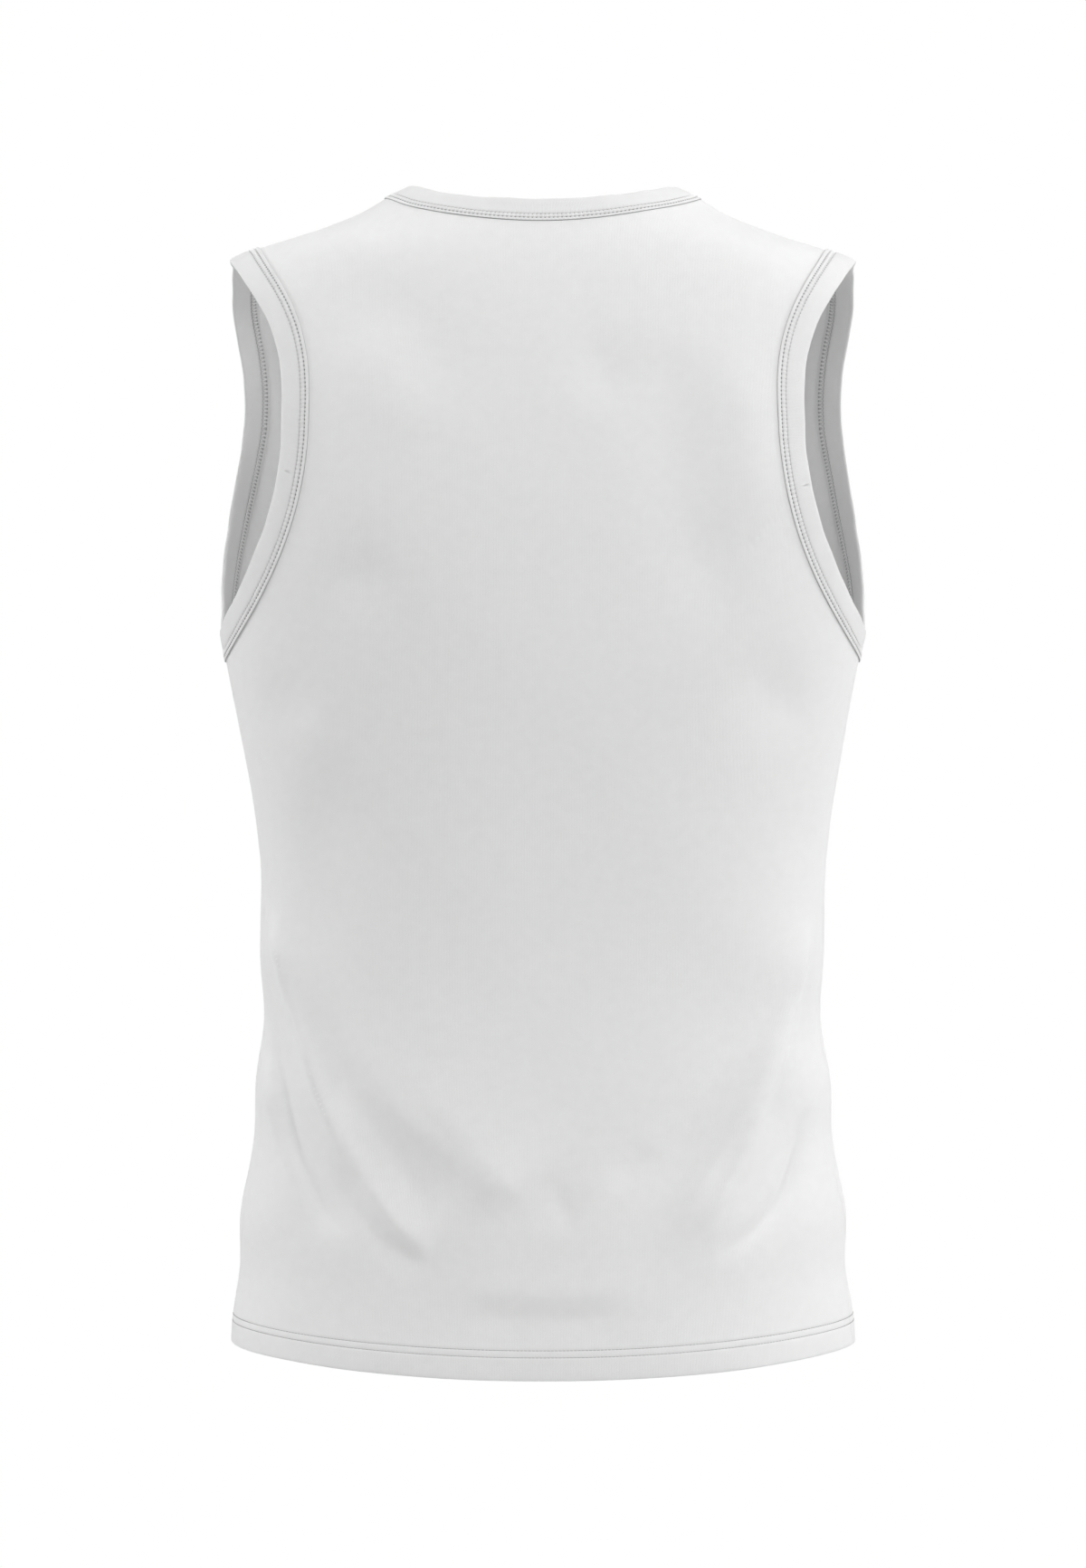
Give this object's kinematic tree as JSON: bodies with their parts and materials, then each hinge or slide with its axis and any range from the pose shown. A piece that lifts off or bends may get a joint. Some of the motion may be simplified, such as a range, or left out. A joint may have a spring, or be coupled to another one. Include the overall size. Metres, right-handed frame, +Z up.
{
  "type": "tank top",
  "caption": "Plain white knit tank top in worn form, hollow, with folded bindings at the neck and armholes and a turned-up hem.",
  "frame": {"origin": "midway between the two points where the shoulder seams meet the neck's edge, which is where the wearer's shoulders carry it", "axes": "+Z up, -Y towards the garment's front, +X towards the wearer's left"},
  "size_m": [0.3962, 0.2342, 0.7055],
  "materials": {
    "panel_knit": "matte fine single jersey knit",
    "binding_knit": "matte fine knit strip, folded and stitched"
  },
  "bodies": {
    "root": {"back_panel": "panel_knit", "front_panel": "panel_knit", "neck_binding": "binding_knit", "left_armhole_binding": "binding_knit", "right_armhole_binding": "binding_knit"}
  },
  "joints": []
}
